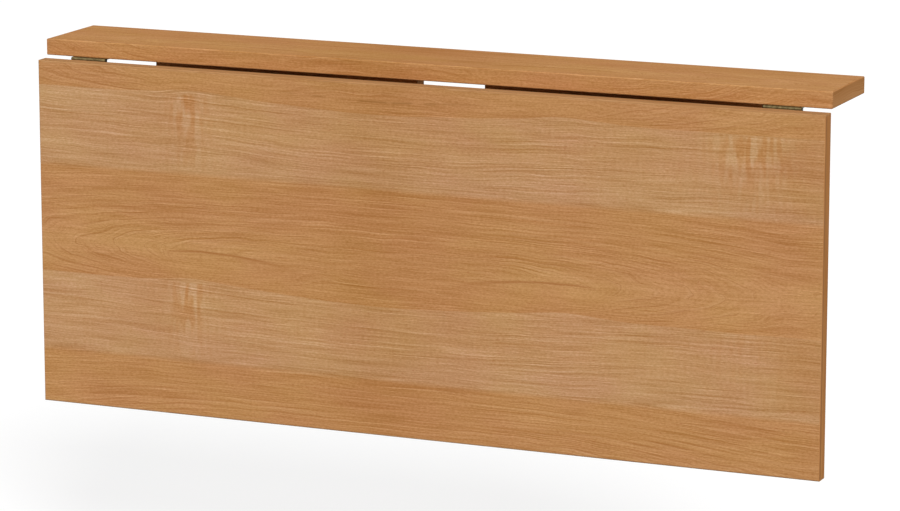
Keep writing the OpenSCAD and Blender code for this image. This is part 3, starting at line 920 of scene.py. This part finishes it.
def extrude(shift):
    bpy.ops.mesh.extrude_region_move(TRANSFORM_OT_translate={"value": shift})


def extrudeUp(height, widen=1.0):
    extrude((0, 0, height))
    bpy.ops.transform.resize(value=(widen, widen, 1))


def raiseBy(height):
    bpy.ops.transform.translate(value=(0, 0, height))


def turnOutwards():
    bpy.ops.mesh.select_all(action="SELECT")
    bpy.ops.mesh.normals_make_consistent(inside=False)


def applyModifier(piece, kind, **settings):
    modifier = piece.modifiers.new(kind.lower(), kind)
    for name, value in settings.items():
        setattr(modifier, name, value)
    choose(piece)
    bpy.ops.object.modifier_apply(modifier=modifier.name)


bodyOf = {node: body for body, members in frame["record"]["behaviour"]["bodies"].items()
          for node in members}
smoothUpTo = 35     # degrees between two faces that are shaded as one


def finishPiece(piece, name, look, standsFor):
    piece.name = piece.data.name = name
    piece.data.materials.clear()
    piece.data.materials.append(looks[look])
    choose(piece)
    bpy.ops.object.shade_smooth_by_angle(angle=math.radians(smoothUpTo))
    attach(piece, bodyOf[standsFor])
    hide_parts(standsFor)


screw = {
    "head": 2.7,            # radii and heights in mm
    "rim": 0.25,
    "headHeight": 1.2,
    "shank": 1.5,
    "root": 1.15,
    "neck": 1.4,            # plain stretch under the head
    "pitch": 1.3,           # from one thread ridge to the next
    "flank": 0.3,           # share of the pitch on each side of a ridge
    "point": 3.0,
    "tip": 0.3,
    "dish": 0.12,           # how far the head's middle is sunk
    "dishRim": 0.4,
    "recessWidth": 3.4,
    "recessArm": 0.62,
    "recessDepth": 0.95,
    "recessFoot": 0.5,      # how wide the recess is at its bottom, beside its top
    "sides": 24,
    "turnStep": 67,         # degrees from one screw's recess to the next one's
}


def modelScrew(length):
    # in mm, with its head's top at the origin and its point along Z
    bpy.ops.mesh.primitive_circle_add(
        vertices=screw["sides"], radius=screw["head"], fill_type="NGON")
    piece = bpy.context.object
    startEdit(piece)
    bpy.ops.mesh.select_all(action="SELECT")
    extrudeUp(screw["rim"])
    extrudeUp(screw["headHeight"] - screw["rim"], screw["shank"] / screw["head"])
    extrudeUp(screw["neck"])
    out, pitch = screw["shank"] / screw["root"], screw["pitch"]
    flank = pitch * screw["flank"]
    extrudeUp(flank, 1 / out)
    threaded = length - screw["headHeight"] - screw["neck"] - screw["point"] - flank
    for ridge in range(int(threaded / pitch)):
        extrudeUp(pitch - 2 * flank)
        extrudeUp(flank, out)
        extrudeUp(flank, 1 / out)
    extrudeUp(threaded % pitch)
    extrudeUp(screw["point"], screw["tip"] / screw["root"])
    pick(piece, "FACE", lambda face: face.calc_center_median().z < close["level"])
    bpy.ops.mesh.inset(thickness=screw["dishRim"])
    raiseBy(screw["dish"])
    turnOutwards()
    endEdit()
    cutter = modelRecess()
    applyModifier(piece, "BOOLEAN", operation="DIFFERENCE", object=cutter, solver="EXACT")
    bpy.data.objects.remove(cutter)
    return piece


def modelRecess():
    # the cross that is cut from a screw's head, narrower at its bottom
    depth, width = screw["recessDepth"], screw["recessArm"]
    bpy.ops.mesh.primitive_cube_add(size=width)
    cutter = bpy.context.object
    cutter.scale.z = 2 * depth / width
    bpy.ops.object.transform_apply(scale=True)
    arm = (screw["recessWidth"] - width) / 2
    startEdit(cutter)
    for way in (Vector((1, 0, 0)), Vector((-1, 0, 0)), Vector((0, 1, 0)), Vector((0, -1, 0))):
        pick(cutter, "FACE", lambda face: face.normal.dot(way) > close["facing"]
             and face.calc_center_median().length < width)
        extrude(way * arm)
    pick(cutter, "FACE", lambda face: face.calc_center_median().z > depth - close["level"])
    bpy.ops.transform.resize(value=(screw["recessFoot"], screw["recessFoot"], 1))
    turnOutwards()
    endEdit()
    return cutter


def mergedCopy(node):
    # the node's mesh with the points that lie on each other made one
    mesh = bmesh.new()
    mesh.from_mesh(nodes[node].data)
    bmesh.ops.remove_doubles(mesh, verts=mesh.verts, dist=close["merged"] * mm)
    return mesh


def solidsOf(mesh):
    # the points of each separate solid
    unseen, solids = set(mesh.verts), []
    while unseen:
        found = [unseen.pop()]
        for vert in found:
            for edge in vert.link_edges:
                other = edge.other_vert(vert)
                if other in unseen:
                    unseen.remove(other)
                    found.append(other)
        solids.append([vert.co.copy() for vert in found])
    return solids


def screwPlace(points):
    # where a screw's head is, and its direction and length: it lies along its longest side,
    # and its head is the wider end
    spans = [(min(point[i] for point in points), max(point[i] for point in points))
             for i in range(3)]
    axis = max(range(3), key=lambda i: spans[i][1] - spans[i][0])
    middle = Vector([sum(span) / 2 for span in spans])
    ends = []
    for end in spans[axis]:
        near = [point - middle for point in points
                if abs(point[axis] - end) < close["screwEnd"] * mm]
        wide = max(math.hypot(*(away[i] for i in range(3) if i != axis)) for away in near)
        ends.append((wide, end))
    head, point = max(ends)[1], min(ends)[1]
    top, along = middle.copy(), Vector((0, 0, 0))
    top[axis], along[axis] = head, point - head
    return tuple(top), along


def screwPlaces(node):
    mesh = mergedCopy(node)
    places = [screwPlace(points) for points in solidsOf(mesh)]
    mesh.free()
    return sorted(places, key=lambda place: place[0])


def placeScrews(node, models):
    # a set of screws is one piece; each length is modelled once
    parts = []
    for number, (top, along) in enumerate(screwPlaces(node)):
        length = round(along.length / mm)
        if length not in models:
            models[length] = modelScrew(length)
        part = models[length].copy()
        part.data = models[length].data.copy()
        bpy.context.scene.collection.objects.link(part)
        turn = Matrix.Rotation(math.radians(number * screw["turnStep"]), 4, "Z")
        lean = along.to_track_quat("Z", "Y").to_matrix().to_4x4()
        part.data.transform(Matrix.Translation(top) @ lean @ Matrix.Scale(mm, 4) @ turn)
        parts.append(part)
    choose(*parts)
    bpy.ops.object.join()
    finishPiece(parts[0], node + "_crosshead", "screw", node)


screwModels = {}
for node in sorted(slots):
    if slots[node] == "screw_steel":
        placeScrews(node, screwModels)
for model in screwModels.values():
    bpy.data.objects.remove(model)
print("screws placed")


felt = {
    "corner": 3.0,          # in mm
    "cornerSteps": 5,
    "crown": 0.5,           # how far the middle stands above the rim
    "slope": 4.0,           # from the rim to the full height, in two steps
    "crownShares": (0.7, 0.3),
    "voxel": 0.5,
    "smoothing": (0.5, 3),  # strength and passes
    "fuzz": 0.22,           # depth of the felt's unevenness
    "fuzzSize": 1.3,
    "fill": 0.95,
}


def modelPad(node):
    # the felt stays within the CAD pad's box, and its middle is a little higher than its rim
    low, high = (Vector(corner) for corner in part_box(node))
    margin = Vector((1, 1, 0)) * felt["fuzz"] / 2 * mm
    size = high - low - 2 * margin
    rim = size.z - (felt["crown"] + felt["fuzz"] / 2) * mm
    middle = (low + high) / 2 - Vector((0, 0, (size.z - rim) / 2))
    bpy.ops.mesh.primitive_cube_add(size=1, location=middle)
    piece = bpy.context.object
    piece.scale = (size.x, size.y, rim)
    bpy.ops.object.transform_apply(location=True, scale=True)
    startEdit(piece)
    pick(piece, "EDGE", lambda edge: abs(edge.verts[0].co.z - edge.verts[1].co.z) > rim / 2)
    bpy.ops.mesh.bevel(
        offset=felt["corner"] * mm, segments=felt["cornerSteps"], affect="EDGES")
    pick(piece, "FACE", lambda face: face.normal.z > close["facing"])
    for share in felt["crownShares"]:
        bpy.ops.mesh.inset(thickness=felt["slope"] / 2 * mm)
        raiseBy(felt["crown"] * share * mm)
    endEdit()
    strength, passes = felt["smoothing"]
    applyModifier(piece, "REMESH", mode="VOXEL", voxel_size=felt["voxel"] * mm)
    applyModifier(piece, "SMOOTH", factor=strength, iterations=passes)
    clouds = bpy.data.textures.new("feltClouds", "CLOUDS")
    clouds.noise_scale = felt["fuzzSize"] * mm
    applyModifier(piece, "DISPLACE", texture=clouds, texture_coords="LOCAL", mid_level=0.5,
                  strength=felt["fuzz"] * mm)
    bpy.data.textures.remove(clouds)
    for vert in piece.data.vertices:
        vert.co.z = max(low.z, min(high.z, vert.co.z))      # it lies flat on its board
    finishPiece(piece, node + "_felt", "felt", node)


for node in sorted(slots):
    if slots[node] == "pad":
        modelPad(node)
print("felt pads placed")


softened = {
    # the radius of their edges in mm
    "left_wall_batten": 1.0,
    "right_wall_batten": 1.0,
    "left_stop_block": 1.2,
    "right_stop_block": 1.2,
}
softEdge = {"steps": 3, "flatUpTo": 0.5, "sharpFrom": 30}      # angles in degrees


def softenBoard(node, radius):
    # the board's outer edges are rounded; its screw holes and seats keep their sharp edges
    mesh = mergedCopy(node)
    data = bpy.data.meshes.new(node)
    mesh.to_mesh(data)
    mesh.free()
    piece = bpy.data.objects.new(node, data)
    bpy.context.scene.collection.objects.link(piece)
    startEdit(piece)
    bpy.ops.mesh.select_all(action="SELECT")
    bpy.ops.mesh.dissolve_limited(angle_limit=math.radians(softEdge["flatUpTo"]))
    places = [vert.co.copy() for vert in bmesh.from_edit_mesh(piece.data).verts]

    def isOuter(face):
        level = max(face.normal.dot(place) for place in places)
        return level - face.normal.dot(face.verts[0].co) < close["level"] * mm

    def isRim(edge):
        if not edge.is_manifold or edge.calc_face_angle() <= math.radians(softEdge["sharpFrom"]):
            return False
        return all(isOuter(face) for face in edge.link_faces)

    pick(piece, "EDGE", isRim)
    bpy.ops.mesh.bevel(offset=radius * mm, segments=softEdge["steps"], affect="EDGES")
    endEdit()
    finishPiece(piece, node + "_softened", special[node], node)


for node, radius in softened.items():
    softenBoard(node, radius)
print("edges softened on", len(softened), "pieces")
